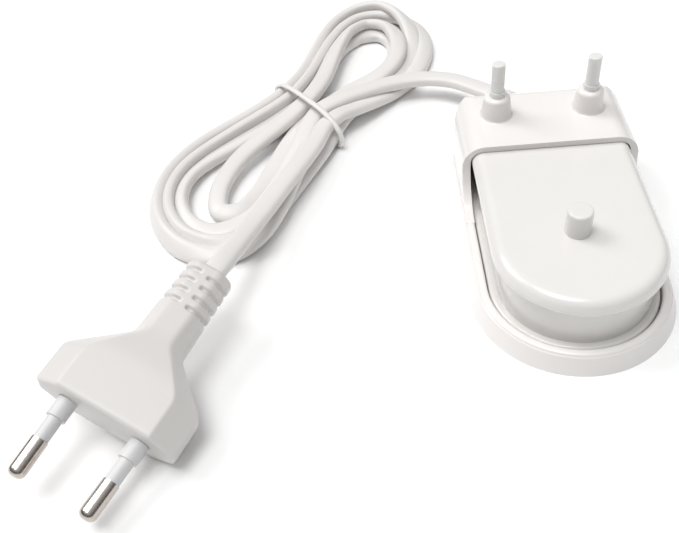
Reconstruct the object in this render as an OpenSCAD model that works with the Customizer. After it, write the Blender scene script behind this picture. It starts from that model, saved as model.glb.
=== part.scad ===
// Inductive toothbrush charger standing in a lift-off brush-head holder, with its mains lead in a tied hank.
// Millimetres, +Z up. Origin on the surface it stands on, at the middle of the holder's footprint.
// +Y points to the back, where the lead comes out; the round end faces -Y.

/* [Charger] */
// Width of the charger over its top lip
charger_w = 41.2; // [36:0.1:50]
// Length of the charger, round front to flat back
charger_l = 77.2; // [72:0.1:95]
// Height of the charger's top face above the surface
charger_h = 19.7; // [18.5:0.1:26]
// Radius of the two back corners seen from above
back_corner_r = 5; // [4.5:0.1:8]
// Rounding of the top edge
top_edge_r = 3; // [2:0.1:3.4]
// How far the side wall is set in under the lip
waist_inset = 1.9; // [1.2:0.1:2.2]
// Height of the foot flange
flange_h = 4.6; // [3:0.1:5]
// Wall of the charger housing
housing_wall = 1.8; // [1.2:0.1:2]
// Thickness of the bottom cover
cover_t = 2; // [1.5:0.1:2.2]

/* [Charging post] */
// Diameter of the post that the handset sits on
post_d = 6.1; // [6:0.1:9]
// Height of the post above the charger's top
post_h = 6.7; // [5:0.1:12]
// Distance of the post behind the centre of the round front
post_back = 2.9; // [0:0.1:6]
// Wall of the hollow post
post_wall = 1; // [0.8:0.1:1.2]

/* [Coil] */
// Diameter of the ferrite rod
core_d = 3.8; // [3:0.1:4]
// Diameter of the bobbin's flanges
bobbin_d = 22; // [16:0.5:24]
// Diameter of the primary winding
winding_d = 19; // [12:0.5:21]
// Diameter of the feedback winding
feedback_d = 13; // [9:0.5:18]

/* [Circuit board] */
// Width of the board
board_w = 24; // [23.5:0.5:26]
// Length of the board
board_l = 56; // [55:0.5:57]
// Thickness of the board
board_t = 1.6; // [1:0.1:2]
// Height of the board's underside above the surface
board_z = 5; // [4.6:0.1:5.4]

/* [Brush-head holder] */
// Gap between the charger and the holder that drops over it
holder_gap = 0.35; // [0.3:0.05:0.6]
// Width of the rim's top
rim_w = 2.15; // [1.8:0.05:3]
// Height of the rim
rim_h = 5.4; // [4:0.1:7]
// How much wider the rim's foot is than its top, on each side
rim_flare = 1.9; // [0.5:0.1:3]
// Thickness of the deck over the back of the charger
deck_t = 1.6; // [1.2:0.1:2.5]
// Length of the deck, front edge to back
deck_l = 24.7; // [20:0.1:30]
// Rounding of the deck's shoulders
shoulder_r = 6; // [4:0.1:7]
// Radius of the concave cheeks below the deck's front edge
cheek_r = 11; // [8:0.5:14]
// Width of the slot that the lead's strain relief leaves through
cord_slot_w = 9; // [8.6:0.1:12]

/* [Brush pegs] */
// Diameter of a peg
peg_d = 3.5; // [3:0.1:4.4]
// Height of a peg's tip above the deck
peg_h = 15.9; // [12:0.1:24]
// Distance between the two pegs
peg_gap = 24.8; // [18:0.1:30]
// Distance of the pegs from the deck's back edge
peg_back = 10.7; // [7:0.1:16]
// Diameter of a collar at the deck
collar_d = 8.4; // [7.5:0.1:11]
// Diameter of a collar at its top
collar_top_d = 7.2; // [6:0.1:7.4]
// Height of a collar
collar_h = 6.1; // [4:0.1:8]

/* [Mains lead] */
// Width of the flat twin lead
cord_w = 5.8; // [4.8:0.1:6.4]
// Thickness of the flat twin lead
cord_t = 3.5; // [2.8:0.1:4]
// Height of the lead's exit above the surface
exit_z = 8.8; // [8.4:0.1:9.2]
// Diameter of the strain relief's neck in the wall
gland_d = 6.4; // [5.8:0.1:6.6]

/* [Plug] */
// Width of the plug body at its face
plug_w = 35.3; // [34:0.1:36]
// Thickness of the plug body
plug_t = 13.7; // [13:0.1:14.4]
// Diameter of the metal pins
pin_d = 4; // [3.9:0.01:4.1]
// Length of a pin beyond the face
pin_l = 19; // [18.5:0.1:19.5]
// Distance between the pins at the face
pin_gap = 18.6; // [18:0.1:19.2]
// Length of the insulated part of a pin
sleeve_l = 10; // [9:0.1:11]

/* [Hidden] */
$fn = 64;

fit = 0.05;                 // gap all round between pieces that slip into each other
press = 0.02;               // gap all round between pieces that are pressed or welded together
over = 1;                   // how far a cutter runs past the surface that it cuts

half_w = charger_w / 2;
back_y = charger_l / 2;
round_y = half_w - charger_l / 2;          // centre of the round front end
wall_in = waist_inset + housing_wall;      // the cavity's inset from the lip
ceiling_z = charger_h - housing_wall;      // underside of the charger's top
post_y = round_y + post_back;
post_top = charger_h + post_h;

rim_top = holder_gap + rim_w;              // outline offset of the rim's outer top edge
rim_foot = rim_top + rim_flare;            // outline offset of the rim's foot
deck_z = charger_h + holder_gap / 2 + deck_t;
deck_back_y = back_y + rim_top;
deck_front_y = deck_back_y - deck_l;
peg_y = deck_back_y - peg_back;

board_top = board_z + board_t;
coil_y = post_y;
board_ahead = 12.9;                        // from the coil's axis to the board's front edge
board_front_y = coil_y - board_ahead;
board_back_y = board_front_y + board_l;
relief_bend_r = 16;                        // radius of the strain relief's bend
relief_bend_a = 50;                        // angle of that bend
relief_bend_y = back_y + 4;                // where the bend starts

// The charger's outline grown by an offset: a half-round front, straight sides and two rounded back corners.
module charger_outline(offset_by = 0) {
    translate([0, round_y]) circle(r = half_w + offset_by);
    translate([-half_w - offset_by, round_y])
        square([2 * (half_w + offset_by), back_y - back_corner_r - round_y]);
    translate([-half_w + back_corner_r, round_y])
        square([2 * (half_w - back_corner_r), back_y + offset_by - round_y]);
    for (side = [-1, 1])
        translate([side * (half_w - back_corner_r), back_y - back_corner_r])
            circle(r = back_corner_r + offset_by);
}

// Sweeps a profile round the charger's outline. Profile x is the distance out from the outline, y is height.
module along_outline() {
    translate([0, round_y, 0]) rotate([0, 0, 180])
        rotate_extrude(angle = 180) translate([half_w, 0]) children();
    for (side = [0, 1]) mirror([side, 0, 0]) {
        translate([half_w, back_y - back_corner_r, 0]) rotate([90, 0, 0])
            linear_extrude(back_y - back_corner_r - round_y) children();
        translate([half_w - back_corner_r, back_y - back_corner_r, 0])
            rotate_extrude(angle = 90) translate([back_corner_r, 0]) children();
    }
    translate([-half_w + back_corner_r, back_y, 0]) rotate([90, 0, 90])
        linear_extrude(2 * (half_w - back_corner_r)) children();
}

// A straight bar with a flat-sided round-ended section, along +Z.
module flat_bar(width, thickness, length) {
    linear_extrude(length) flat_section(width, thickness);
}

module flat_section(width, thickness) {
    square([width - thickness, thickness], center = true);
    for (side = [-1, 1]) translate([side * (width - thickness) / 2, 0]) circle(d = thickness);
}

// A round rod along +Z with a rounded tip edge.
module tipped_rod(d, length, tip_r) {
    rotate_extrude() {
        square([d / 2 - tip_r, length]);
        square([d / 2, length - tip_r]);
        intersection() {
            translate([d / 2 - tip_r, length - tip_r]) circle(r = tip_r);
            square([d / 2, length]);
        }
    }
}

// ---- charger ----

flange_edge_r = 0.8;
lip_under_r = 1.3;
lip_z = charger_h - top_edge_r;            // height of the widest line of the lip
housing_foot_z = 0.5;
cover_inset = 1.5;                         // wall left round the bottom cover at the foot

// Half-section of the housing's outer edge, from the foot flange up over the lip.
module housing_edge() {
    core_in = wall_in + 0.8;
    translate([-core_in, housing_foot_z])
        square([core_in - waist_inset, charger_h - top_edge_r - housing_foot_z]);
    translate([-core_in, housing_foot_z])
        square([core_in, flange_h - flange_edge_r - housing_foot_z]);
    translate([-core_in, housing_foot_z])
        square([core_in - flange_edge_r, flange_h - housing_foot_z]);
    translate([-flange_edge_r, flange_h - flange_edge_r]) circle(r = flange_edge_r);
    translate([-lip_under_r, lip_z]) circle(r = lip_under_r);
    translate([-core_in, lip_z - lip_under_r]) square([core_in - lip_under_r, lip_under_r]);
    intersection() {
        translate([-top_edge_r, lip_z]) circle(r = top_edge_r);
        translate([-core_in, lip_z]) square([core_in, top_edge_r]);
    }
}

module charger_housing() {
    color([0.93, 0.925, 0.91]) difference() {
        union() {
            translate([0, 0, housing_foot_z])
                linear_extrude(charger_h - housing_foot_z) charger_outline(-top_edge_r);
            along_outline() housing_edge();
            translate([0, post_y, ceiling_z]) tipped_rod(post_d, post_h + housing_wall, 0.6);
        }
        translate([0, 0, -over]) linear_extrude(ceiling_z + over) charger_outline(-wall_in);
        translate([0, 0, -over]) linear_extrude(cover_t + over) charger_outline(-cover_inset);
        translate([0, post_y, 0]) cylinder(d = post_d - 2 * post_wall, h = post_top - post_wall);
        translate([0, back_y + over, exit_z]) rotate([90, 0, 0])
            cylinder(d = gland_d + 2 * fit, h = wall_in + 2 * over);
    }
}

pillar_d = 4;
pillar_x = board_w / 2 - 3;
pillar_ys = [board_front_y + 4, board_back_y - 4];
pillar_pin_d = 1.8;

module bottom_cover() {
    spigot_t = 1.2;
    color([0.9, 0.895, 0.88]) {
        linear_extrude(cover_t) charger_outline(-cover_inset - fit);
        translate([0, 0, cover_t]) linear_extrude(1.6) difference() {
            charger_outline(-wall_in - fit);
            charger_outline(-wall_in - fit - spigot_t);
        }
        for (side = [-1, 1], y = pillar_ys) translate([side * pillar_x, y, 0]) {
            cylinder(d = pillar_d, h = board_z);
            cylinder(d = pillar_pin_d, h = board_top + 0.6);
        }
    }
}

// ---- coil ----

bobbin_flange_t = 1;
bobbin_tube_d = core_d + 2.4;
bobbin_top_z = ceiling_z - 0.6;
primary_z = board_top + bobbin_flange_t;
primary_h = 5.4;
feedback_z = primary_z + primary_h + bobbin_flange_t;
feedback_h = bobbin_top_z - bobbin_flange_t - feedback_z;
bobbin_pin_xs = [-7.5, -2.5, 2.5, 7.5];
bobbin_pin_y = coil_y + bobbin_d / 2 + 1.5;
bobbin_pin_d = 0.8;

module ferrite_core() {
    color([0.2, 0.2, 0.21]) translate([0, coil_y, board_top + fit])
        cylinder(d = core_d, h = post_top - post_wall - fit - board_top - fit);
}

module coil_bobbin() {
    color([0.16, 0.16, 0.17]) difference() {
        union() {
            for (z = [board_top, feedback_z - bobbin_flange_t, bobbin_top_z - bobbin_flange_t])
                translate([0, coil_y, z]) cylinder(d = bobbin_d, h = bobbin_flange_t);
            translate([0, coil_y, board_top]) cylinder(d = bobbin_tube_d, h = bobbin_top_z - board_top);
            translate([-9.5, coil_y + bobbin_d / 2 - 3, board_top]) cube([19, 6, 2.4]);
        }
        translate([0, coil_y, 0]) cylinder(d = core_d + 2 * fit, h = post_top);
        translate([0, coil_y, primary_z]) difference() {
            cylinder(d = winding_d + 4, h = primary_h);
            translate([0, 0, -over]) cylinder(d = bobbin_tube_d, h = primary_h + 2 * over);
        }
        for (x = bobbin_pin_xs) translate([x, bobbin_pin_y, board_z])
            cylinder(d = bobbin_pin_d, h = board_t + 1.6);
    }
}

// A coil of wire on the bobbin's tube.
module winding(d, z, h) {
    translate([0, coil_y, z + fit]) difference() {
        cylinder(d = d, h = h - 2 * fit);
        translate([0, 0, -over]) cylinder(d = bobbin_tube_d + 2 * fit, h = h + 2 * over);
    }
}

module primary_winding() color([0.72, 0.4, 0.2]) winding(winding_d, primary_z, primary_h);
module feedback_winding() color([0.76, 0.45, 0.24]) winding(feedback_d, feedback_z, feedback_h);

module bobbin_pins() {
    color([0.78, 0.78, 0.76]) for (x = bobbin_pin_xs)
        translate([x, bobbin_pin_y, board_z - 0.7]) cylinder(d = bobbin_pin_d, h = board_t + 2.3);
}

// ---- circuit board and what is soldered to it ----

module circuit_board() {
    color([0.72, 0.6, 0.36]) difference() {
        translate([-board_w / 2, board_front_y, board_z]) cube([board_w, board_l, board_t]);
        for (side = [-1, 1], y = pillar_ys) translate([side * pillar_x, y, 0])
            cylinder(d = pillar_pin_d + 2 * fit, h = board_top + over);
        for (x = bobbin_pin_xs) translate([x, bobbin_pin_y, 0])
            cylinder(d = bobbin_pin_d + 2 * fit, h = board_top + over);
    }
}

parts_y = bobbin_pin_y + 5;                // first row of small parts behind the coil
big_parts_y = parts_y + 7.5;               // front of the row of larger parts

module smoothing_capacitor() {
    can_d = 7.4;
    can_l = 11.5;
    color([0.13, 0.14, 0.2]) translate([-6, big_parts_y + 0.8, board_top + can_d / 2]) rotate([-90, 0, 0]) {
        cylinder(d = can_d, h = can_l - 1.4);
        translate([0, 0, can_l - 1.4]) cylinder(d = can_d - 0.6, h = 0.7);
        translate([0, 0, can_l - 0.7]) cylinder(d = can_d, h = 0.7);
    }
}

module resonance_capacitor() {
    color([0.72, 0.3, 0.16]) translate([0.6, big_parts_y, board_top]) cube([4.8, 10, 7.4]);
}

module switching_transistor() {
    body_d = 4.8;
    color([0.12, 0.12, 0.13]) translate([5.4, parts_y + 1.6, board_top]) {
        translate([0, 0, 1.8]) linear_extrude(4.8) intersection() {
            circle(d = body_d);
            translate([-body_d / 2, -body_d / 2]) square([body_d, body_d * 0.78]);
        }
        for (x = [-1.27, 0, 1.27]) translate([x, 0, 0]) cylinder(d = 0.5, h = 1.8);
    }
}

// An axial part lying on the board along +X, on two bent leads.
module axial_part(d, length, lead_d = 0.6) {
    span = length + 2.4;
    axis_z = d / 2 + 0.2;
    translate([-length / 2, 0, axis_z]) rotate([0, 90, 0]) cylinder(d = d, h = length);
    translate([-span / 2, 0, axis_z]) rotate([0, 90, 0]) cylinder(d = lead_d, h = span);
    for (side = [-1, 1]) translate([side * span / 2, 0, 0]) {
        cylinder(d = lead_d, h = axis_z);
        translate([0, 0, axis_z]) sphere(d = lead_d);
    }
}

module rectifier_diodes() {
    color([0.1, 0.1, 0.11]) for (x = [-8.4, -2.4], row = [0, 1])
        translate([x, parts_y + row * 3.2, board_top]) axial_part(2, 2.9);
}

module fuse_resistor() {
    color([0.3, 0.5, 0.34]) translate([8.9, big_parts_y + 5.4, board_top])
        rotate([0, 0, 90]) axial_part(3, 7);
}

module bias_resistors() {
    color([0.76, 0.66, 0.48]) for (row = [0, 1])
        translate([10, parts_y - 0.8 + row * 5, board_top]) rotate([0, 0, 90]) axial_part(1.7, 2.2);
}

wire_d = 1.4;
wire_gap = 2.4;
relief_in_y = back_y - wall_in - 1.2;      // inner face of the strain relief's flange
wire_foot_y = board_back_y - 1.6;

module lead_wires() {
    color([0.55, 0.33, 0.2]) for (side = [-1, 1]) translate([side * wire_gap / 2, 0, 0]) {
        translate([0, relief_in_y, exit_z]) rotate([90, 0, 0])
            cylinder(d = wire_d, h = relief_in_y - wire_foot_y);
        translate([0, wire_foot_y, exit_z]) sphere(d = wire_d);
        translate([0, wire_foot_y, board_top]) cylinder(d = wire_d, h = exit_z - board_top);
    }
}

// ---- strain relief where the lead leaves the charger ----

relief_ribs = 6;
relief_root_d = 6.8;
relief_tip_d = 5.6;

module cord_strain_relief() {
    wall_out_y = back_y - waist_inset;
    rib_a = relief_bend_a / relief_ribs;
    color([0.92, 0.915, 0.9]) {
        translate([0, 0, exit_z]) rotate([-90, 0, 0]) {
            translate([0, 0, relief_in_y])
                cylinder(d = gland_d + 1.4, h = back_y - wall_in - relief_in_y - fit);
            translate([0, 0, relief_in_y]) cylinder(d = gland_d, h = relief_bend_y - relief_in_y);
            translate([0, 0, wall_out_y + fit]) cylinder(d = gland_d + 0.8, h = 1);
        }
        translate([-relief_bend_r, relief_bend_y, exit_z]) {
            rotate_extrude(angle = relief_bend_a) translate([relief_bend_r, 0]) circle(d = relief_tip_d);
            for (i = [0 : relief_ribs - 1]) rotate([0, 0, i * rib_a])
                rotate_extrude(angle = rib_a * 0.62) translate([relief_bend_r, 0])
                    circle(d = relief_root_d - (relief_root_d - relief_tip_d) * i / relief_ribs);
        }
    }
}

// ---- lift-off holder for spare brush heads ----

rim_edge_r = 0.8;
peg_foot_depth = collar_h - 0.9;           // how deep a peg is pressed into its collar

// Half-section of the rim: upright inner face, rounded top, flared outer face.
module rim_section() {
    slope = rim_flare / rim_h;
    polygon([
        [holder_gap, 0], [rim_foot, 0], [rim_top + slope * rim_edge_r, rim_h - rim_edge_r],
        [rim_top - rim_edge_r, rim_h], [holder_gap + rim_edge_r, rim_h], [holder_gap, rim_h - rim_edge_r]
    ]);
    translate([holder_gap + rim_edge_r, rim_h - rim_edge_r]) circle(r = rim_edge_r);
    translate([rim_top - rim_edge_r, rim_h - rim_edge_r]) circle(r = rim_edge_r);
}

// End view of a block with rounded shoulders, standing on z = 0.
module shouldered(width, height, r) {
    translate([-width / 2, 0]) square([width, height - r]);
    translate([-width / 2 + r, 0]) square([width - 2 * r, height]);
    for (side = [-1, 1]) translate([side * (width / 2 - r), height - r]) circle(r = r);
}

// Solid block under the deck, rounded at the shoulders and along the back edge.
module deck_block(offset_by, height, shoulder, front_y) {
    length = back_y + offset_by - front_y;
    back_r = shoulder / 2;
    intersection() {
        linear_extrude(height) charger_outline(offset_by);
        translate([0, back_y + offset_by, 0]) rotate([90, 0, 0])
            linear_extrude(length) shouldered(charger_w + 2 * offset_by, height, shoulder);
        translate([-half_w - offset_by, front_y, 0]) rotate([90, 0, 90])
            linear_extrude(charger_w + 2 * offset_by) {
                square([length - back_r, height]);
                square([length, height - back_r]);
                translate([length - back_r, height - back_r]) circle(r = back_r);
            }
    }
}

// The two concave cheeks that run from the deck's front edge down to the rim.
module cheeks() {
    for (side = [-1, 1])
        translate([side * (half_w + holder_gap + rim_w / 2) - rim_w / 2, 0, 0])
            rotate([90, 0, 90]) linear_extrude(rim_w) difference() {
                translate([deck_front_y - cheek_r, rim_h - 1]) square([cheek_r + 1, cheek_r + 1]);
                translate([deck_front_y - cheek_r, rim_h + cheek_r]) circle(r = cheek_r);
                translate([deck_front_y - cheek_r - over, deck_z - shoulder_r])
                    square([cheek_r + over, 2 * cheek_r]);
            }
}

// Flared collar that a brush peg is pressed into.
module collar() {
    edge_r = 1.1;
    foot_r = 0.5;
    rotate_extrude() {
        polygon([
            [0, -deck_t / 2], [collar_d / 2, -deck_t / 2], [collar_d / 2, 0],
            [collar_top_d / 2, collar_h - edge_r], [collar_top_d / 2 - edge_r, collar_h], [0, collar_h]
        ]);
        translate([collar_top_d / 2 - edge_r, collar_h - edge_r]) circle(r = edge_r);
        difference() {
            square([collar_d / 2 + foot_r, foot_r]);
            translate([collar_d / 2 + foot_r, foot_r]) circle(r = foot_r);
        }
    }
}

module holder_frame() {
    inner_shoulder = top_edge_r + 0.2;
    color([0.94, 0.935, 0.925]) difference() {
        union() {
            along_outline() rim_section();
            difference() {
                deck_block(rim_top, deck_z, shoulder_r, deck_front_y);
                translate([0, 0, -over])
                    deck_block(holder_gap, deck_z - deck_t + over, inner_shoulder, deck_front_y - over);
                translate([-half_w - holder_gap, deck_front_y - over, -over])
                    cube([charger_w + 2 * holder_gap, 2 * over, deck_z - deck_t - inner_shoulder]);
            }
            cheeks();
            for (side = [-1, 1]) translate([side * peg_gap / 2, peg_y, deck_z]) collar();
        }
        for (side = [-1, 1]) translate([side * peg_gap / 2, peg_y, deck_z + collar_h - peg_foot_depth])
            cylinder(d = peg_d + 2 * press, h = peg_foot_depth + over);
        translate([-cord_slot_w / 2, back_y - back_corner_r, -over])
            cube([cord_slot_w, back_corner_r + rim_foot + over, exit_z + over]);
        translate([0, back_y - back_corner_r, exit_z]) rotate([-90, 0, 0])
            cylinder(d = cord_slot_w, h = back_corner_r + rim_foot + over);
    }
}

// A peg with the small step that shows above its collar.
module brush_peg(side) {
    step_h = 1.5;
    color([0.86, 0.86, 0.84]) translate([side * peg_gap / 2, peg_y, deck_z + collar_h]) {
        translate([0, 0, -peg_foot_depth + fit])
            tipped_rod(peg_d, peg_h - collar_h + peg_foot_depth - fit, 0.4);
        cylinder(d = peg_d + 0.6, h = step_h);
    }
}

module left_brush_peg() brush_peg(-1);
module right_brush_peg() brush_peg(1);

// ---- mains lead ----

hank_h = 10;
hank_ends = [[-45, 104.5, 23.5], [-90.5, 24.2, 24]];
hank_waist = [
    [-67.5, 17], [-64.5, 31.5], [-56, 45.5], [-53.5, 53.5], [-40, 63], [-30.5, 70], [-24.5, 84], [-22.5, 99],
    [-67.2, 98], [-72.8, 79], [-77, 75], [-93, 61.5], [-103, 52.2], [-110.2, 41], [-113, 31]
];
lead_route = [
    [-5.7, 54.9, 8.8], [-8.5, 57.6, 8.7], [-11.1, 60.6, 8.2], [-13.7, 63.8, 7.4], [-16.2, 66.8, 6.6],
    [-19.4, 69.8, 5.8], [-24, 71.9, 5.5], [-29, 72.6, 5.5], [-34, 72.5, 5.6]
];
tail_route = [
    [-77.2, 11.6, 8.5], [-78.7, 8, 9.2], [-80.2, 4.3, 10], [-81.6, 0.6, 10.9], [-82.8, -3, 12],
    [-83.9, -6.6, 13.2], [-85, -10, 14.4], [-86.2, -13.3, 15.4], [-87.6, -16.7, 16]
];

function unit(v) = v / norm(v);
function heading(route, i) =
    unit(route[min(i + 1, len(route) - 1)] - route[max(i - 1, 0)]);
function ring(route, i) =
    let (ahead = heading(route, i), across = unit(cross(ahead, [0, 0, 1])), up = cross(across, ahead))
    [for (a = [22.5 : 45 : 359]) route[i] + across * cord_w / 2 * cos(a) + up * cord_t / 2 * sin(a)];

// The lead's own solid: one closed eight-sided tube along a route.
module swept_lead(route) {
    last = len(route) - 1;
    points = [for (i = [0 : last]) each ring(route, i)];
    sides = [for (i = [0 : last - 1], k = [0 : 7])
        let (a = 8 * i + k, b = 8 * i + (k + 1) % 8) each [[a, b, b + 8], [a, b + 8, a + 8]]];
    caps = [[for (k = [7 : -1 : 0]) k], [for (k = [0 : 7]) 8 * last + k]];
    polyhedron(points, concat(sides, caps), convexity = 4);
}

module cord_lead() color([0.93, 0.93, 0.92]) swept_lead(lead_route);
module cord_tail() color([0.93, 0.93, 0.92]) swept_lead(tail_route);

// Outer shape of the tied hank.
module cord_hank() {
    color([0.93, 0.93, 0.92]) linear_extrude(hank_h) {
        for (end = hank_ends) translate([end[0], end[1]]) circle(r = end[2]);
        polygon(hank_waist);
    }
}

tie_centre = [-65.6, 61.5];
tie_turn = -54;
tie_w = 35;
tie_wire = 1.2;

// Wire tie closed round the hank's waist.
module cord_tie() {
    color([0.95, 0.95, 0.94]) translate([tie_centre[0], tie_centre[1], 0]) rotate([90, 0, tie_turn])
        translate([0, 0, -tie_wire / 2]) linear_extrude(tie_wire) difference() {
            translate([-tie_w / 2, 0]) square([tie_w, hank_h + tie_wire]);
            translate([-tie_w / 2 + tie_wire, tie_wire]) square([tie_w - 2 * tie_wire, hank_h - tie_wire]);
        }
}

// ---- plug ----

plug_at = [-109.3, -53.9, 10.7];           // middle of the plug's face, at the height of the pins
plug_yaw = -30.2;
plug_pitch = 7;
plug_roll = 18.4;
plug_side_h = 4.5;                         // height of the upright side walls between the bevels
plug_flat_w = 23.2;                        // width of the flat top between the bevels
plug_full_l = 10.5;                        // length at full width
plug_taper_l = 9;
neck_w = 12.8;
neck_t = 10;
relief_w = 12;
relief_t = 9;
relief_start = 29.6;
plug_l = 43.4;
pin_toe = 1.6;                             // how far each pin leans in towards the other, in degrees
pin_in = 8;
sleeve_root_l = 4.6;
sleeve_root_d = 4.7;
sleeve_less = 0.4;                         // how much thinner the sleeve is than the bare metal
bridge_y = 2.5;
bridge_t = 3.6;
crimp_l = 4.5;
crimp_d = 3.4;
conductor_d = 1.5;
conductor_gap = 2;
conductor_joint_y = 22;                    // where the two wires come side by side
slot_in = 2.3;                             // half width of the relief's spine between the slots

// Puts a piece of the plug where the plug lies. Plug y runs from the face back along the lead.
module place_plug() {
    translate(plug_at) rotate([0, 0, plug_yaw]) rotate([plug_pitch, 0, 0])
        rotate([0, plug_roll, 0]) children();
}

module at_pin(side) {
    translate([side * pin_gap / 2, 0, 0]) rotate([0, 0, -side * pin_toe]) children();
}

// A cylinder along +Y between two distances from the face.
module rod_y(d, from, to) {
    translate([0, from, 0]) rotate([-90, 0, 0]) cylinder(d = d, h = to - from);
}

module bridge_shape(grow = 0) {
    translate([-pin_gap / 2 - 3 - grow, bridge_y - grow, -3 - grow])
        cube([pin_gap + 6 + 2 * grow, bridge_t + 2 * grow, 6 + 2 * grow]);
}

module crimps_shape(grow = 0) {
    for (side = [-1, 1]) at_pin(side) rod_y(crimp_d + 2 * grow, pin_in - grow, pin_in + crimp_l + grow);
}

// Two insulated wires that leave the crimps straight, lean in to the middle and run out along the lead.
module conductors_shape(grow = 0) {
    d = conductor_d + 2 * grow;
    stub = 1.5;
    start_r = pin_in + crimp_l;
    bend_x = pin_gap / 2 + (start_r + stub) * sin(pin_toe);
    bend_y = (start_r + stub) * cos(pin_toe);
    for (side = [-1, 1]) {
        reach = bend_x - conductor_gap / 2;
        run = conductor_joint_y - bend_y;
        at_pin(side) rod_y(d, start_r, start_r + stub);
        translate([side * bend_x, bend_y, 0]) sphere(d = d + 0.2);
        translate([side * bend_x, bend_y, 0]) rotate([0, 0, side * atan2(reach, run)])
            rod_y(d, 0, norm([reach, run]));
        translate([side * conductor_gap / 2, conductor_joint_y, 0]) sphere(d = d + 0.2);
        translate([side * conductor_gap / 2, 0, 0])
            rod_y(d, conductor_joint_y, plug_l + (grow > 0 ? over : -0.4));
    }
}

module plug_outline() {
    polygon([
        [-plug_w / 2, 0], [plug_w / 2, 0], [plug_w / 2, plug_full_l],
        [neck_w / 2 + 0.4, plug_full_l + plug_taper_l], [-neck_w / 2 - 0.4, plug_full_l + plug_taper_l],
        [-plug_w / 2, plug_full_l]
    ]);
}

module plug_body() {
    half = plug_w / 2;
    flat = plug_flat_w / 2;
    top = plug_t / 2;
    side_top = plug_side_h / 2;
    body_l = plug_full_l + plug_taper_l;
    color([0.9, 0.895, 0.885]) place_plug() difference() {
        union() {
            intersection() {
                translate([0, 0, -top]) linear_extrude(plug_t) plug_outline();
                translate([0, body_l, 0]) rotate([90, 0, 0]) linear_extrude(body_l) polygon([
                    [half, side_top], [flat, top], [-flat, top], [-half, side_top],
                    [-half, -side_top], [-flat, -top], [flat, -top], [half, -side_top]
                ]);
            }
            translate([0, relief_start, 0]) rotate([90, 0, 0])
                flat_bar(neck_w, neck_t, relief_start - body_l + 3);
            translate([0, plug_l, 0]) rotate([90, 0, 0])
                flat_bar(relief_w, relief_t, plug_l - relief_start + 1);
        }
        for (i = [0 : 3], side = [-1, 1])
            translate([side > 0 ? slot_in : -slot_in - relief_w, 0, -relief_t])
                translate([0, relief_start + 1.2 + 3 * i - 0.3 * side, 0])
                    cube([relief_w, 1.2, 2 * relief_t]);
        for (side = [-1, 1]) at_pin(side) rod_y(pin_d - sleeve_less + 2 * press, -over, pin_in + press);
        bridge_shape(press);
        crimps_shape(press);
        conductors_shape(press);
    }
}

// One pin: a rod with a rounded tip, slimmer where the insulating sleeve is.
module plug_pin(side) {
    color([0.8, 0.78, 0.72]) place_plug() at_pin(side) {
        translate([0, -sleeve_l - press, 0]) rotate([90, 0, 0])
            tipped_rod(pin_d, pin_l - sleeve_l - press, 1.5);
        rod_y(pin_d - 1, -sleeve_l - 0.5, 0.5);
        rod_y(pin_d - sleeve_less, 0, pin_in);
    }
}

module pin_sleeve(side) {
    color([0.9, 0.9, 0.89]) place_plug() at_pin(side) difference() {
        union() {
            rod_y(pin_d - sleeve_less, -sleeve_l, -0.08);
            rod_y(sleeve_root_d, -sleeve_root_l, -0.08);
        }
        rod_y(pin_d - 1 + 2 * press, -sleeve_l - over, over);
    }
}

module left_plug_pin() plug_pin(-1);
module right_plug_pin() plug_pin(1);
module left_pin_sleeve() pin_sleeve(-1);
module right_pin_sleeve() pin_sleeve(1);

module pin_bridge() {
    color([0.85, 0.85, 0.83]) place_plug() difference() {
        bridge_shape();
        for (side = [-1, 1]) at_pin(side) rod_y(pin_d - sleeve_less + 2 * press, -over, pin_in + over);
    }
}

module pin_crimps() color([0.75, 0.72, 0.64]) place_plug() crimps_shape();
module plug_conductors() color([0.5, 0.35, 0.25]) place_plug() conductors_shape();

charger_housing();
bottom_cover();
ferrite_core();
coil_bobbin();
primary_winding();
feedback_winding();
bobbin_pins();
circuit_board();
smoothing_capacitor();
resonance_capacitor();
switching_transistor();
rectifier_diodes();
fuse_resistor();
bias_resistors();
lead_wires();
cord_strain_relief();
holder_frame();
left_brush_peg();
right_brush_peg();
cord_lead();
cord_hank();
cord_tail();
cord_tie();
plug_body();
left_plug_pin();
right_plug_pin();
left_pin_sleeve();
right_pin_sleeve();
pin_bridge();
pin_crimps();
plug_conductors();
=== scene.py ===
import math

import bpy
import numpy as np
from mathutils import Matrix, Vector


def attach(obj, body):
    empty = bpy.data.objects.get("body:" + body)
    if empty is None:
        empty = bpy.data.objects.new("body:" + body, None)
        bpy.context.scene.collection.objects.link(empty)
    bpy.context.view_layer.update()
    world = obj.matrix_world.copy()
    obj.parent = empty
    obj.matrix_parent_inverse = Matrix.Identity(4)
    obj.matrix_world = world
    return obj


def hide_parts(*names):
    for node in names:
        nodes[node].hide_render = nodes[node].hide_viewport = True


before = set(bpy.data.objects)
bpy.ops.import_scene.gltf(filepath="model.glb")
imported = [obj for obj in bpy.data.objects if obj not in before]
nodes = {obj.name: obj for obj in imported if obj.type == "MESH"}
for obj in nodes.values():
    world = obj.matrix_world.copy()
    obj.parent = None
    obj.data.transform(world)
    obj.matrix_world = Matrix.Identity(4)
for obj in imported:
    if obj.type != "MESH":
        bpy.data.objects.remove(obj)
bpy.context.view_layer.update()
scene = bpy.context.scene

# ---------------------------------------------------------------- camera
CAMERA_AT = (-0.048478, -0.160417, 0.163897)
YAW, PITCH, ROLL = 0.0573, 0.8015, 0.1145      # radians: turned left, looking down, tipped
SENSOR, LENS = 36, 45.582                      # millimetres


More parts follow.
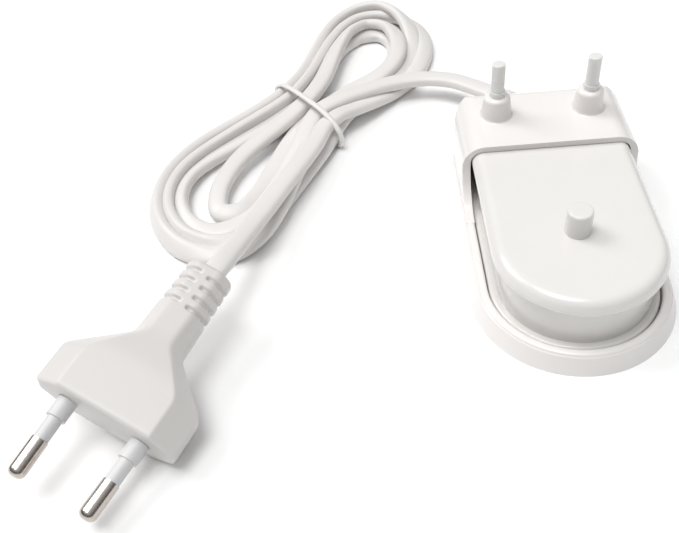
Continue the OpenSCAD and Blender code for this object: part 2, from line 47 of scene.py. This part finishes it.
def make_camera():
    data = bpy.data.cameras.new("camera")
    data.sensor_width = SENSOR
    data.lens = LENS
    data.clip_start = 0.01
    ahead = Vector((-math.sin(YAW) * math.cos(PITCH), math.cos(YAW) * math.cos(PITCH), -math.sin(PITCH)))
    level_right = Vector((math.cos(YAW), math.sin(YAW), 0))
    level_down = ahead.cross(level_right)
    right = math.cos(ROLL) * level_right + math.sin(ROLL) * level_down
    down = -math.sin(ROLL) * level_right + math.cos(ROLL) * level_down
    place = Matrix((right, -down, -ahead)).transposed().to_4x4()
    place.translation = Vector(CAMERA_AT)
    camera = bpy.data.objects.new("camera", data)
    scene.collection.objects.link(camera)
    camera.matrix_world = place
    scene.camera = camera


make_camera()


# ---------------------------------------------------------------- mesh helpers
def add_mesh(name, verts, faces, body="charger"):
    mesh = bpy.data.meshes.new(name)
    mesh.from_pydata([tuple(v) for v in verts], [], faces)
    mesh.validate()
    mesh.shade_smooth()
    obj = bpy.data.objects.new(name, mesh)
    scene.collection.objects.link(obj)
    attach(obj, body)
    return obj


def skin(rings, closed=False):
    """Faces between rings of the same count, with flat caps unless the rings close on themselves."""
    k, n = len(rings[0]), len(rings)
    verts = [v for r in rings for v in r]
    faces = []
    for i in range(n if closed else n - 1):
        a, b = i * k, ((i + 1) % n) * k
        faces += [(a + j, a + (j + 1) % k, b + (j + 1) % k, b + j) for j in range(k)]
    if not closed:
        faces += [tuple(range(k - 1, -1, -1)), tuple((n - 1) * k + j for j in range(k))]
    return verts, faces


def between(a, b, c, d, t):
    """The point at t, from 0 to 1, on the smooth curve from b to c whose neighbours are a and d."""
    square = 2 * a - 5 * b + 4 * c - d
    cube = 3 * b - a - 3 * c + d
    return 0.5 * (2 * b + (c - a) * t + square * t ** 2 + cube * t ** 3)


def spline(points, step):
    """Smooth open curve through the points, sampled evenly by its length: its rows and that length."""
    p = np.array(points, float)
    p = np.vstack([2 * p[0] - p[1], p, 2 * p[-1] - p[-2]])
    t = np.linspace(0, 1, 12, endpoint=False)[:, None]
    pieces = [between(p[i - 1], p[i], p[i + 1], p[i + 2], t) for i in range(1, len(p) - 2)]
    q = np.vstack(pieces + [p[-2][None]])
    s = np.r_[0, np.cumsum(np.linalg.norm(np.diff(q[:, :3], axis=0), axis=1))]
    u = np.linspace(0, s[-1], int(round(s[-1] / step)) + 1)
    return np.column_stack([np.interp(u, s, q[:, k]) for k in range(q.shape[1])]), s[-1]


# ---------------------------------------------------------------- mains lead
LEAD_W, LEAD_T = 0.0058, 0.0035
LEAD_STEP = 0.0011
LEAD_SIDES = 32
FLOOR_GAP = 0.00002
# Where the lead's middle runs, from the strain relief through the hank's four turns to the plug:
# x, y, z in metres, and the angle in degrees by which the flat lead is tipped up on its edge.
# A separate script spread these points along each strand, 7.5 mm apart, and smoothed them.
LEAD = [
    (-0.004, 0.0531, 0.0088, 0), (-0.0093, 0.0584, 0.0086, 0), (-0.0141, 0.0641, 0.0076, 0),
    (-0.0195, 0.0693, 0.0067, 0), (-0.0263, 0.0722, 0.0061, 0), (-0.0338, 0.0723, 0.006, 0),
    (-0.0411, 0.0706, 0.0061, 0), (-0.048, 0.0676, 0.0063, 0), (-0.0547, 0.0642, 0.0065, 0),
    (-0.061, 0.0602, 0.0062, 0), (-0.0649, 0.0539, 0.0054, 0), (-0.0674, 0.047, 0.0043, 0),
    (-0.0701, 0.04, 0.0032, 0), (-0.0731, 0.0332, 0.0024, 0), (-0.0763, 0.0264, 0.002, 0),
    (-0.0802, 0.02, 0.0018, 0), (-0.0855, 0.0147, 0.0018, 2), (-0.0926, 0.0128, 0.0019, 10),
    (-0.099, 0.0164, 0.002, 24), (-0.1023, 0.023, 0.0021, 35), (-0.1027, 0.0305, 0.0022, 37),
    (-0.1004, 0.0376, 0.0021, 31), (-0.096, 0.0437, 0.0021, 18), (-0.0905, 0.0488, 0.0021, 7),
    (-0.0847, 0.0535, 0.0024, 2), (-0.0788, 0.0581, 0.0028, 0), (-0.0729, 0.0628, 0.0032, 0),
    (-0.0675, 0.0679, 0.0032, 0), (-0.0636, 0.0743, 0.003, 0), (-0.0613, 0.0815, 0.0027, 0),
    (-0.0594, 0.0887, 0.0023, 0), (-0.057, 0.0958, 0.002, 0), (-0.0533, 0.1023, 0.0018, 0),
    (-0.0476, 0.1072, 0.0018, 0), (-0.0404, 0.1075, 0.0018, 0), (-0.0361, 0.1016, 0.0018, 0),
    (-0.036, 0.0942, 0.0018, 0), (-0.0386, 0.0872, 0.0018, 0), (-0.0433, 0.0814, 0.002, 0),
    (-0.0489, 0.0764, 0.0023, 0), (-0.0544, 0.0714, 0.0027, 0), (-0.0596, 0.0659, 0.0031, 0),
    (-0.0643, 0.0601, 0.0032, 0), (-0.0685, 0.0538, 0.0031, 0), (-0.0718, 0.0471, 0.0028, 1),
    (-0.0746, 0.0401, 0.0025, 3), (-0.0773, 0.0332, 0.0022, 10), (-0.0804, 0.0263, 0.0021, 20),
    (-0.0846, 0.0201, 0.0022, 28), (-0.0906, 0.0202, 0.0026, 22), (-0.0914, 0.0275, 0.0031, 9),
    (-0.0895, 0.0348, 0.0035, 3), (-0.0861, 0.0414, 0.004, 0), (-0.0815, 0.0473, 0.0045, 0),
    (-0.0763, 0.0527, 0.0051, 0), (-0.0713, 0.0583, 0.0055, 1), (-0.0669, 0.0644, 0.0058, 2),
    (-0.0631, 0.0708, 0.0059, 2), (-0.0603, 0.0778, 0.0057, 3), (-0.0584, 0.085, 0.0054, 9),
    (-0.0565, 0.0923, 0.0052, 21), (-0.0541, 0.0994, 0.0051, 34), (-0.0506, 0.1061, 0.005, 47),
    (-0.0449, 0.1107, 0.0043, 51), (-0.0385, 0.108, 0.0049, 40), (-0.0355, 0.1011, 0.0053, 21),
    (-0.0349, 0.0937, 0.0051, 8), (-0.0366, 0.0864, 0.0047, 1), (-0.0407, 0.0802, 0.0042, 0),
    (-0.0461, 0.0749, 0.0037, 0), (-0.0515, 0.0698, 0.0033, 0), (-0.0563, 0.064, 0.0031, 0),
    (-0.0599, 0.0575, 0.0033, 0), (-0.0626, 0.0505, 0.004, 0), (-0.0651, 0.0434, 0.0049, 0),
    (-0.0676, 0.0364, 0.0054, 0), (-0.07, 0.0293, 0.0054, 0), (-0.0723, 0.0221, 0.005, 0),
    (-0.0751, 0.0152, 0.0042, 0), (-0.0791, 0.009, 0.0032, 2), (-0.0849, 0.0044, 0.0024, 9),
    (-0.0922, 0.0032, 0.0021, 24), (-0.0991, 0.0059, 0.0022, 41), (-0.1044, 0.0112, 0.0025, 54),
    (-0.1079, 0.0178, 0.0026, 61), (-0.1095, 0.0251, 0.0027, 64), (-0.1092, 0.0326, 0.0027, 65),
    (-0.1071, 0.0398, 0.0027, 65), (-0.1034, 0.0463, 0.0028, 65), (-0.0986, 0.052, 0.0029, 65),
    (-0.0929, 0.0569, 0.0031, 65), (-0.0868, 0.0614, 0.0035, 66), (-0.0809, 0.0659, 0.004, 68),
    (-0.0755, 0.0712, 0.0042, 68), (-0.0713, 0.0774, 0.0041, 65), (-0.0683, 0.0842, 0.0036, 59),
    (-0.066, 0.0913, 0.003, 57), (-0.0638, 0.0985, 0.0027, 58), (-0.0613, 0.1056, 0.0026, 62),
    (-0.0582, 0.1124, 0.0027, 68), (-0.0538, 0.1185, 0.003, 72), (-0.0474, 0.1221, 0.0038, 73),
    (-0.0402, 0.1211, 0.0051, 65), (-0.0347, 0.1161, 0.0055, 48), (-0.0312, 0.1095, 0.0047, 32),
    (-0.0296, 0.1023, 0.0035, 20), (-0.0299, 0.0949, 0.0025, 14), (-0.0322, 0.0878, 0.0019, 8),
    (-0.0361, 0.0814, 0.0019, 3), (-0.041, 0.0758, 0.002, 2), (-0.0463, 0.0704, 0.0024, 5),
    (-0.0513, 0.0648, 0.0029, 14), (-0.0552, 0.0585, 0.0033, 24), (-0.0582, 0.0516, 0.0035, 25),
    (-0.0612, 0.0447, 0.0032, 15), (-0.0647, 0.0381, 0.0028, 5), (-0.0684, 0.0316, 0.0023, 1),
    (-0.0721, 0.025, 0.0019, 0), (-0.0758, 0.0185, 0.0018, 1), (-0.0801, 0.0124, 0.0018, 6),
    (-0.0861, 0.0079, 0.002, 22), (-0.0934, 0.0076, 0.0024, 48), (-0.0997, 0.0115, 0.0027, 66),
    (-0.1039, 0.0177, 0.0028, 73), (-0.106, 0.0249, 0.0028, 75), (-0.1058, 0.0323, 0.0028, 75),
    (-0.1033, 0.0394, 0.0028, 75), (-0.099, 0.0456, 0.0029, 75), (-0.0936, 0.0507, 0.0032, 75),
    (-0.0877, 0.0553, 0.0038, 75), (-0.0817, 0.0597, 0.0044, 75), (-0.0759, 0.0646, 0.0047, 74),
    (-0.0711, 0.0703, 0.0046, 70), (-0.0675, 0.0769, 0.0044, 65), (-0.0647, 0.0839, 0.004, 61),
    (-0.0624, 0.091, 0.0036, 61), (-0.0601, 0.0981, 0.0033, 63), (-0.0573, 0.1051, 0.003, 67),
    (-0.0535, 0.1116, 0.0028, 70), (-0.048, 0.1166, 0.0027, 70), (-0.0408, 0.1184, 0.0025, 58),
    (-0.0337, 0.1163, 0.0022, 39), (-0.0285, 0.111, 0.002, 25), (-0.026, 0.104, 0.0019, 21),
    (-0.0257, 0.0965, 0.0019, 19), (-0.0272, 0.0891, 0.0019, 16), (-0.0303, 0.0823, 0.0018, 8),
    (-0.0345, 0.0761, 0.002, 0), (-0.0395, 0.0705, 0.0026, -6), (-0.0448, 0.0654, 0.0038, -10),
    (-0.0503, 0.0605, 0.0053, -11), (-0.0559, 0.0557, 0.0067, -10), (-0.0603, 0.0497, 0.0071, -7),
    (-0.0628, 0.0426, 0.0074, -4), (-0.0656, 0.0357, 0.0081, -1), (-0.0688, 0.0289, 0.0086, 0),
    (-0.0722, 0.0222, 0.0087, 0), (-0.0753, 0.0154, 0.0091, 0), (-0.0782, 0.0086, 0.01, 0),
    (-0.0808, 0.0016, 0.0115, 1), (-0.0831, -0.0053, 0.0133, 3), (-0.0854, -0.0122, 0.0152, 8),
    (-0.0888, -0.0187, 0.0157, 12),
]


def flat_oval(width, thick, n):
    """Flat twin lead's section: nearly flat sides and tightly rounded edges."""
    power = 2 / 2.7
    pts = []
    for k in range(n):
        a = 2 * math.pi * (k + 0.5) / n
        x, y = (math.copysign(abs(v) ** power, v) for v in (math.cos(a), math.sin(a)))
        pts.append((width / 2 * x, thick / 2 * y))
    return pts


def lead_rings(centre, tilt):
    """The section set across each point of the route, tipped by its tilt and kept off the floor."""
    ahead = np.gradient(centre, axis=0)
    ahead /= np.linalg.norm(ahead, axis=1)[:, None]
    section = flat_oval(LEAD_W, LEAD_T, LEAD_SIDES)
    rings = []
    for c, t, f in zip(centre, ahead, tilt):
        side = np.cross(t, (0, 0, 1))
        side /= np.linalg.norm(side)
        up = np.cross(side, t)
        wide = math.cos(f) * side + math.sin(f) * up
        thin = -math.sin(f) * side + math.cos(f) * up
        ring = np.array([c + wide * x + thin * y for x, y in section])
        ring[:, 2] += max(0.0, FLOOR_GAP - ring[:, 2].min())
        rings.append(ring)
    return rings


route, lead_length = spline(LEAD, LEAD_STEP)
lead_middle = route[:, :3]
lead = add_mesh("mains_lead", *skin(lead_rings(lead_middle, np.radians(route[:, 3]))))
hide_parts("cord_lead", "cord_hank", "cord_tail")

# ---------------------------------------------------------------- wire tie
TIE_MIDDLE = np.array((-0.0656, 0.0615, 0))
TIE_DIR = np.array((0.588, -0.809, 0))          # level, across the hank
TIE_ACROSS = np.array((0.809, 0.588, 0))        # level, along the hank
TIE_WIDE, TIE_THIN = 0.00088, 0.0006            # half the wire's width and thickness
TIE_LOW = 0.0008                                # how high the wire's middle lies on the floor
# The tie's loop round the hank: how far along TIE_DIR and how high, in metres.
TIE = [
    (-0.0162, 0.0012), (-0.0172, 0.0035), (-0.0162, 0.0062), (-0.0132, 0.0083), (-0.0085, 0.0094),
    (-0.003, 0.0098), (0.003, 0.0099), (0.0085, 0.0096), (0.0132, 0.0085), (0.0165, 0.0063),
    (0.0175, 0.0035), (0.0166, 0.0013), (0.014, TIE_LOW), (0.0, TIE_LOW), (-0.014, TIE_LOW),
]


def tie_loop():
    """The smooth closed curve through the tie's points, 8 steps to each."""
    n = len(TIE)
    loop = []
    for i in range(n):
        a, b, c, d = (np.array(TIE[(i + k) % n]) for k in (-1, 0, 1, 2))
        loop += [between(a, b, c, d, t) for t in np.linspace(0, 1, 8, endpoint=False)]
    loop = np.array(loop)
    loop[:, 1] = np.maximum(loop[:, 1], TIE_LOW)
    return loop


def tie_rings(sides=14):
    loop = tie_loop()
    rings = []
    for i, (s, z) in enumerate(loop):
        ds, dz = loop[(i + 1) % len(loop)] - loop[i - 1]
        out = (TIE_DIR * dz - np.array((0, 0, 1)) * ds) / math.hypot(ds, dz)
        middle = TIE_MIDDLE + TIE_DIR * s + np.array((0, 0, z))
        rings.append([middle + TIE_WIDE * math.cos(q) * TIE_ACROSS + TIE_THIN * math.sin(q) * out
                      for q in np.linspace(0, 2 * math.pi, sides, endpoint=False)])
    return rings


tie = add_mesh("wire_tie", *skin(tie_rings(), closed=True))
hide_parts("cord_tie")

# ---------------------------------------------------------------- plug moulding, in millimetres
# Its own frame has its origin in the middle of the face, +X from pin to pin and +Y towards the lead.
PLUG_PLACE = (Matrix.Translation((-0.1093, -0.0539, 0.0107)) @ Matrix.Rotation(math.radians(-30.2), 4, "Z")
              @ Matrix.Rotation(math.radians(7), 4, "X") @ Matrix.Rotation(math.radians(18.4), 4, "Y"))
PLUG_L = 43.4
PLUG_POINTS = 240                               # points on each ring
FACE_EDGE, FACE_DROP = 1.0, 0.95                # the face's rounded edge: how far it reaches and drops
TAIL_EDGE = 1.3                                 # the same for the tail's edge, both ways
RELIEF_FROM, RELIEF_TO = 29, 42.3
GROOVES, GROOVE_FIRST, GROOVE_PITCH = 4, 31.2, 3
GROOVE_DEPTH, GROOVE_HALF_W, GROOVE_SHIFT = 0.95, 0.42, 0.35
SPINE_HALF_W = 1.05                             # the uncut strip down the middle of the relief


def along(b, table):
    """The value at b in a table of (place, value) rows."""
    xs, ys = zip(*table)
    return float(np.interp(b, xs, ys))


def smooth_table(table, spread):
    """The same table as 2000 rows whose corners are rounded off over the spread."""
    xs = np.linspace(-5, PLUG_L + 5, 2000)
    ys = np.interp(xs, *zip(*table))
    k = np.exp(-0.5 * (np.linspace(-3, 3, 2 * int(3 * spread / (xs[1] - xs[0])) + 1)) ** 2)
    k /= k.sum()
    ys = np.convolve(np.pad(ys, len(k) // 2, mode="edge"), k, mode="valid")
    return list(zip(xs, ys))


# The eight-cornered section along the plug: half the width, half the flat's width, half the thickness,
# half the side wall's height, and the corners' radius.
HALF_W = smooth_table([(0, 17.65), (10.4, 17.65), (20.5, 6.5), (29, 6.3), (PLUG_L, 5.95)], 0.7)
HALF_FLAT = smooth_table([(0, 11.6), (10.4, 11.6), (21, 3.5), (PLUG_L, 3.2)], 0.9)
HALF_T = smooth_table([(0, 6.85), (14, 6.85), (22, 5.0), (30, 4.75), (PLUG_L, 4.5)], 1.2)
HALF_SIDE = smooth_table([(0, 2.25), (10, 2.25), (21, 1.7), (PLUG_L, 1.5)], 1.0)
CORNER_R = [(0, 0.55), (11, 0.7), (20, 2.6), (PLUG_L, 2.6)]


def outline(corners, radius, count):
    """Closed polygon with rounded corners, sampled evenly from its first edge's middle."""
    pts, n = [], len(corners)
    for i in range(n):
        a, b, c = (np.array(corners[(i + k) % n], float) for k in (-1, 0, 1))
        u, v = (a - b) / np.linalg.norm(a - b), (c - b) / np.linalg.norm(c - b)
        ang = math.acos(max(-1, min(1, float(u @ v))))
        cut = min(radius / math.tan(ang / 2), 0.48 * np.linalg.norm(a - b), 0.48 * np.linalg.norm(c - b))
        p0, p1 = b + u * cut, b + v * cut
        pts += [(1 - t) ** 2 * p0 + 2 * t * (1 - t) * b + t * t * p1 for t in np.linspace(0, 1, 9)]
    pts = np.array(pts + pts[:1])
    mid = (pts[0] + pts[-2]) / 2
    pts = np.vstack([mid, pts[:-1], mid])
    s = np.r_[0, np.cumsum(np.linalg.norm(np.diff(pts, axis=0), axis=1))]
    u = np.linspace(0, s[-1], count, endpoint=False)
    return np.column_stack([np.interp(u, s, pts[:, 0]), np.interp(u, s, pts[:, 1])])


def quarter(x):
    """How far a quarter circle of radius 1 has dropped at x, from 0 to 1."""
    return 1 - math.sqrt(max(0, 1 - min(1, max(0, x)) ** 2))


def section_at(b):
    """The ring at b, before any groove: its face end and its tail end are rounded over."""
    inset = FACE_DROP * quarter((FACE_EDGE - b) / FACE_EDGE)
    inset += TAIL_EDGE * quarter((b - PLUG_L + TAIL_EDGE) / TAIL_EDGE)
    half_w = along(b, HALF_W) - inset
    flat = along(b, HALF_FLAT) - inset * 0.5
    top = along(b, HALF_T) - inset
    side = along(b, HALF_SIDE) - inset * 0.2
    corners = [(half_w, side), (flat, top), (-flat, top), (-half_w, side),
               (-half_w, -side), (-flat, -top), (flat, -top), (half_w, -side)]
    return outline(corners, along(b, CORNER_R), PLUG_POINTS)


def groove_depth(b, x):
    """Depth of the strain relief's cross grooves, which are staggered left and right of its spine."""
    depth = 0
    across = 1 / (1 + math.exp(-(abs(x) - SPINE_HALF_W) / 0.13))
    for i in range(GROOVES):
        mid = GROOVE_FIRST + GROOVE_PITCH * i - math.copysign(GROOVE_SHIFT, x)
        past_edge = (abs(b - mid) - GROOVE_HALF_W) / 0.12
        depth = max(depth, GROOVE_DEPTH * across / (1 + math.exp(max(-30, min(30, past_edge)))))
    return depth


def with_grooves(ring, b):
    run = np.roll(ring, -1, 0) - np.roll(ring, 1, 0)
    inward = np.column_stack([-run[:, 1], run[:, 0]]) / np.linalg.norm(run, axis=1)[:, None]
    return ring + inward * np.array([groove_depth(b, x) for x, _ in ring])[:, None]


def plug_rings():
    body = np.arange(1.6, 29.6, 0.5)
    relief = np.arange(29.6, 42.6, 0.13)
    rings = []
    for b in [0, 0.08, 0.25, 0.55, 1.0, *body, *relief, 42.75, 42.95, 43.12, 43.25, 43.34, PLUG_L]:
        ring = section_at(b)
        if RELIEF_FROM < b < RELIEF_TO:
            ring = with_grooves(ring, b)
        rings.append([PLUG_PLACE @ Vector((x / 1000, b / 1000, z / 1000)) for x, z in ring])
    return rings


plug = add_mesh("plug_moulding", *skin(plug_rings()))
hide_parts("plug_body")


# ---------------------------------------------------------------- materials
def new_material(name):
    mat = bpy.data.materials.new(name)
    mat.use_nodes = True
    return mat, mat.node_tree, mat.node_tree.nodes["Principled BSDF"]


def add_node(tree, kind, **values):
    """A shader node with its inputs set by name, where To_Min stands for To Min."""
    node = tree.nodes.new("ShaderNode" + kind)
    for key, value in values.items():
        node.inputs[key.replace("_", " ")].default_value = value
    return node


def vary(tree, shader, noise, dark, light, rough_low, rough_high):
    """Lets one noise vary the colour from dark to light and the roughness from low to high."""
    ramp = add_node(tree, "ValToRGB")
    ramp.color_ramp.elements[0].color = tuple(dark) + (1,)
    ramp.color_ramp.elements[1].color = tuple(light) + (1,)
    rough = add_node(tree, "MapRange", To_Min=rough_low, To_Max=rough_high)
    tree.links.new(noise.outputs["Fac"], ramp.inputs["Fac"])
    tree.links.new(ramp.outputs["Color"], shader.inputs["Base Color"])
    tree.links.new(noise.outputs["Fac"], rough.inputs["Value"])
    tree.links.new(rough.outputs["Result"], shader.inputs["Roughness"])


def plastic(name, colour, rough, coat=0.0, sss=0.0, bump=0.05, scale=900):
    """Moulded plastic: faint cloudiness, and a fine grain of the given strength and scale."""
    spread = 0.015
    mat, tree, shader = new_material(name)
    place = add_node(tree, "TexCoord")
    clouds = add_node(tree, "TexNoise", Scale=60, Detail=5)
    grain = add_node(tree, "TexNoise", Scale=scale, Detail=3)
    relief = add_node(tree, "Bump", Strength=bump, Distance=0.0001)
    dark = [max(0, c - spread) for c in colour]
    light = [min(1, c + spread) for c in colour]
    tree.links.new(place.outputs["Object"], clouds.inputs["Vector"])
    tree.links.new(place.outputs["Object"], grain.inputs["Vector"])
    vary(tree, shader, clouds, dark, light, rough * 0.85, rough * 1.2)
    tree.links.new(grain.outputs["Fac"], relief.inputs["Height"])
    tree.links.new(relief.outputs["Normal"], shader.inputs["Normal"])
    shader.inputs["IOR"].default_value = 1.46
    shader.inputs["Coat Weight"].default_value = coat
    shader.inputs["Coat Roughness"].default_value = 0.08
    shader.inputs["Subsurface Weight"].default_value = sss
    shader.inputs["Subsurface Radius"].default_value = (0.004, 0.003, 0.0025)
    shader.inputs["Subsurface Scale"].default_value = 0.4
    return mat


def metal(name, colour, rough, streak=0.1):
    """Drawn or plated metal, with fine streaks that run along the plug's pins."""
    mat, tree, shader = new_material(name)
    shader.inputs["Metallic"].default_value = 1
    place = add_node(tree, "TexCoord")
    stretch = add_node(tree, "Mapping", Rotation=(0, 0, math.radians(30.2)), Scale=(2400, 120, 2400))
    streaks = add_node(tree, "TexNoise", Scale=1, Detail=4)
    tree.links.new(place.outputs["Object"], stretch.inputs["Vector"])
    tree.links.new(stretch.outputs["Vector"], streaks.inputs["Vector"])
    dark = [c * (1 - streak) for c in colour]
    light = [min(1, c * (1 + streak)) for c in colour]
    vary(tree, shader, streaks, dark, light, rough * 0.6, rough * 1.5)
    return mat


housing_mat = plastic("housing_white", (0.765, 0.75, 0.73), 0.2, coat=0.4, sss=0.06)
peg_mat = plastic("peg_white", (0.76, 0.76, 0.745), 0.28, coat=0.25, sss=0.1)
sleeve_mat = plastic("sleeve_white", (0.66, 0.66, 0.665), 0.3)
pin_mat = metal("nickel", (0.52, 0.475, 0.44), 0.22, 0.2)
LOOKS = {
    # What shows from outside
    "charger_housing": housing_mat,
    "bottom_cover": housing_mat,
    "holder_frame": plastic("holder_white", (0.825, 0.80, 0.785), 0.24, coat=0.35, sss=0.06),
    "left_brush_peg": peg_mat,
    "right_brush_peg": peg_mat,
    "cord_strain_relief": plastic("relief_white", (0.72, 0.70, 0.685), 0.45, bump=0.1, scale=1200),
    "left_plug_pin": pin_mat,
    "right_plug_pin": pin_mat,
    "left_pin_sleeve": sleeve_mat,
    "right_pin_sleeve": sleeve_mat,
    # Inside the charger
    "ferrite_core": plastic("ferrite", (0.06, 0.06, 0.065), 0.6),
    "coil_bobbin": plastic("bobbin_black", (0.04, 0.04, 0.045), 0.5),
    "primary_winding": metal("copper_wire", (0.6, 0.3, 0.14), 0.3),
    "feedback_winding": metal("copper_wire_2", (0.62, 0.33, 0.16), 0.3),
    "bobbin_pins": metal("tinned", (0.7, 0.7, 0.68), 0.35),
    "circuit_board": plastic("board_tan", (0.42, 0.28, 0.13), 0.5),
    "smoothing_capacitor": plastic("cap_sleeve", (0.03, 0.035, 0.07), 0.35),
    "resonance_capacitor": plastic("film_red", (0.42, 0.11, 0.05), 0.3),
    "switching_transistor": plastic("epoxy_black", (0.02, 0.02, 0.022), 0.5),
    "rectifier_diodes": plastic("diode_black", (0.02, 0.02, 0.022), 0.45),
    "fuse_resistor": plastic("resistor_green", (0.1, 0.24, 0.12), 0.5),
    "bias_resistors": plastic("resistor_tan", (0.5, 0.38, 0.22), 0.45),
    "lead_wires": plastic("wire_brown", (0.2, 0.09, 0.05), 0.45),
    # Inside the plug
    "pin_bridge": sleeve_mat,
    "pin_crimps": metal("brass", (0.7, 0.55, 0.28), 0.3),
    "plug_conductors": plastic("wire_brown_2", (0.2, 0.09, 0.05), 0.45),
}


def paint(obj, mat):
    obj.data.materials.clear()
    obj.data.materials.append(mat)


for name, mat in LOOKS.items():
    paint(nodes[name], mat)
paint(lead, plastic("lead_white", (0.74, 0.72, 0.705), 0.36, sss=0.1, bump=0.12, scale=1400))
paint(tie, plastic("tie_white", (0.78, 0.765, 0.75), 0.4))
paint(plug, plastic("plug_white", (0.695, 0.675, 0.66), 0.36, sss=0.05, bump=0.1, scale=1200))


# ---------------------------------------------------------------- softened edges
def soften(name, width, segments=3):
    mod = nodes[name].modifiers.new("soft_edges", "BEVEL")
    mod.width = width
    mod.segments = segments
    mod.limit_method = "ANGLE"
    mod.angle_limit = math.radians(32)
    mod.harden_normals = True


soften("holder_frame", 0.0003)
soften("charger_housing", 0.00025)
soften("bottom_cover", 0.0003)
for part in ("brush_peg", "pin_sleeve", "plug_pin"):
    soften("left_" + part, 0.00015, 2)
    soften("right_" + part, 0.00015, 2)


# ---------------------------------------------------------------- floor and light
def make_floor(size=60, grey=0.97):
    bpy.ops.mesh.primitive_plane_add(size=size, location=(0, 0, 0))
    floor = bpy.context.object
    floor.name = "floor"
    mat, _, shader = new_material("floor")
    shader.inputs["Base Color"].default_value = (grey, grey, grey, 1)
    shader.inputs["Roughness"].default_value = 0.9
    floor.data.materials.append(mat)


def sun(name, source, strength, angle, colour=(1, 1, 1)):
    data = bpy.data.lights.new(name, "SUN")
    data.energy = strength
    data.angle = angle
    data.color = colour
    light = bpy.data.objects.new(name, data)
    light.rotation_mode = "QUATERNION"
    light.rotation_quaternion = Vector(source).to_track_quat("Z", "Y")
    light.location = Vector(source)
    scene.collection.objects.link(light)


def studio(stops):
    """A room that is dim at the sides and bright overhead, from (height, brightness) stops."""
    scene.world = bpy.data.worlds.new("studio")
    scene.world.use_nodes = True
    tree = scene.world.node_tree
    place = add_node(tree, "TexCoord")
    split = add_node(tree, "SeparateXYZ")
    ramp = add_node(tree, "ValToRGB")
    for k, (at, v) in enumerate(stops):
        stop = ramp.color_ramp.elements[k] if k < 2 else ramp.color_ramp.elements.new(at)
        stop.position = at
        stop.color = (v, v, v, 1)
    tree.links.new(place.outputs["Generated"], split.inputs["Vector"])
    tree.links.new(split.outputs["Z"], ramp.inputs["Fac"])
    tree.links.new(ramp.outputs["Color"], tree.nodes["Background"].inputs["Color"])
    tree.nodes["Background"].inputs["Strength"].default_value = 1.0


make_floor()
sun("overhead", (-0.12, -0.06, 0.75), 1.5, 0.55)
sun("key", (-0.5, 0.28, 0.6), 1.15, 0.5, (1, 0.985, 0.97))
studio([(0.0, 0.04), (0.1, 0.05), (0.35, 0.18), (0.7, 0.48), (1.0, 0.8)])
scene.view_settings.view_transform = "Standard"
scene.view_settings.look = "None"
